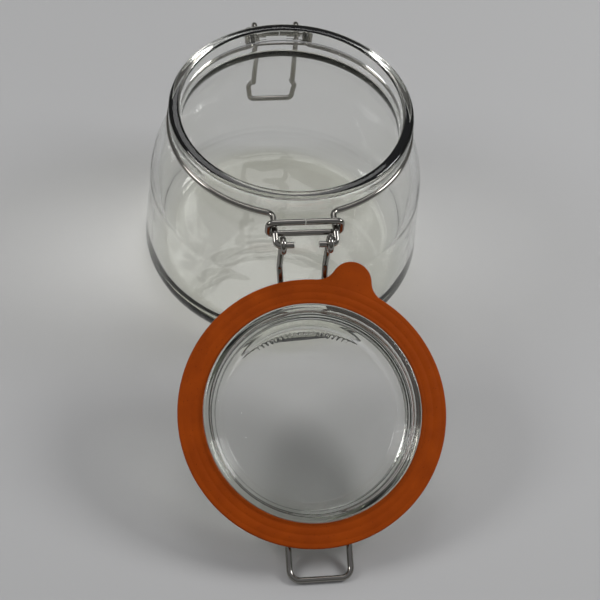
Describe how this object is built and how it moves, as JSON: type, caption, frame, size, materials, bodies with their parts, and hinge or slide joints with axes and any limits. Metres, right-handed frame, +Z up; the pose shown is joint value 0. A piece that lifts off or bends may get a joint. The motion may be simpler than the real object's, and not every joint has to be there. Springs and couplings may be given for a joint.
{
  "type": "bail clamp jar",
  "caption": "Wide-mouthed glass storage jar with a hinged glass lid, a rubber seal and a steel wire clamp, drawn open with the lid resting beside it.",
  "frame": {"origin": "centre of the jar's base on the table", "axes": "+Z up along the jar's axis, the hinge and the open lid towards -Y, the latch towards +Y"},
  "size_m": [0.1196, 0.2348, 0.0875],
  "materials": {
    "glass": "pressed soda-lime glass, fire polished",
    "rubber": "moulded natural rubber, satin",
    "steel": "bright drawn stainless wire"
  },
  "bodies": {
    "jar": {"jar_body": "glass", "neck_wire_left": "steel", "neck_wire_right": "steel", "hinge_ring": "steel", "latch_ring": "steel"},
    "lid": {"glass_lid": "glass", "lid_wire": "steel"},
    "seal": {"rubber_seal": "rubber"},
    "lever": {"latch_lever": "steel"}
  },
  "joints": [
    {"name": "lid_hinge", "type": "hinge", "parent": "jar", "child": "lid", "pos_m": [0, -0.0631, 0.0761], "axis": [1, 0, 0], "range_deg": [-206.85, 0]},
    {"name": "latch_hinge", "type": "hinge", "parent": "jar", "child": "lever", "pos_m": [0, 0.0631, 0.0711], "axis": [-1, 0, 0], "range_deg": [-180, 0]},
    {"name": "seal_turn", "type": "hinge", "parent": "lid", "child": "seal", "pos_m": [0, -0.11412, 0.03717], "axis": [0, 0.4516, -0.8922], "range_deg": [-4, 320]}
  ]
}
